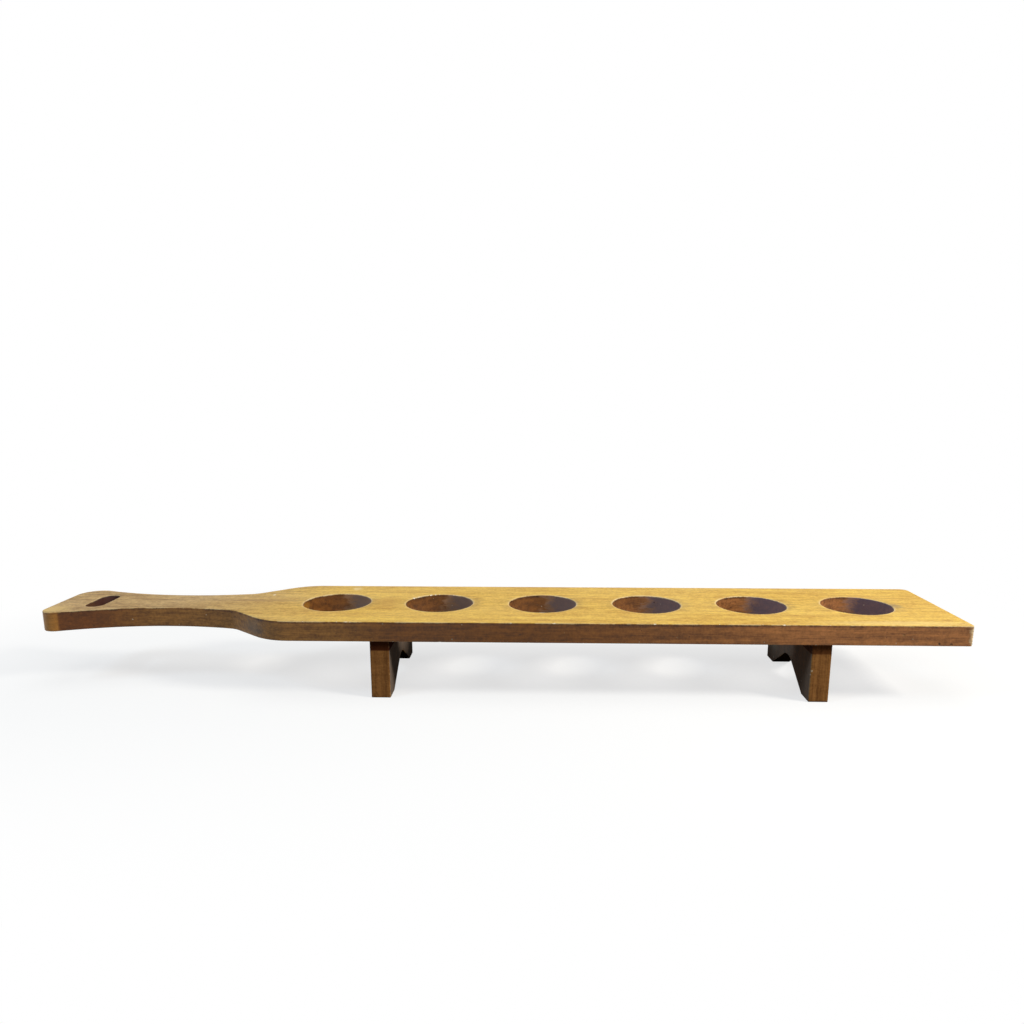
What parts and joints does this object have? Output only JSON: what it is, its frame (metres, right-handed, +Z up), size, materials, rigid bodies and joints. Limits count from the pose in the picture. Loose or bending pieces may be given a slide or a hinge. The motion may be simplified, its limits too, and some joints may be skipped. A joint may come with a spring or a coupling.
{
  "type": "glass serving paddle",
  "caption": "Long wooden serving paddle: a plank with a row of round holes that hold tapered drinking glasses, a flared handle with a slot, and notched legs that stand it on a table.",
  "frame": {"origin": "on the ground, under the middle of the plank's whole length and width", "axes": "+X along the plank from the handle to the square end, +Y across it, +Z up"},
  "size_m": [0.891, 0.14, 0.0765],
  "materials": {
    "plank": "worn oil finish, golden on top and dark brown on the edges",
    "leg": "dark brown stain, worn",
    "dowel": "raw beech"
  },
  "bodies": {
    "root": {"paddle_board": "plank", "handle_leg": "leg", "square_end_leg": "leg", "handle_leg_near_dowel": "dowel", "handle_leg_far_dowel": "dowel", "square_end_leg_near_dowel": "dowel", "square_end_leg_far_dowel": "dowel"}
  },
  "joints": []
}
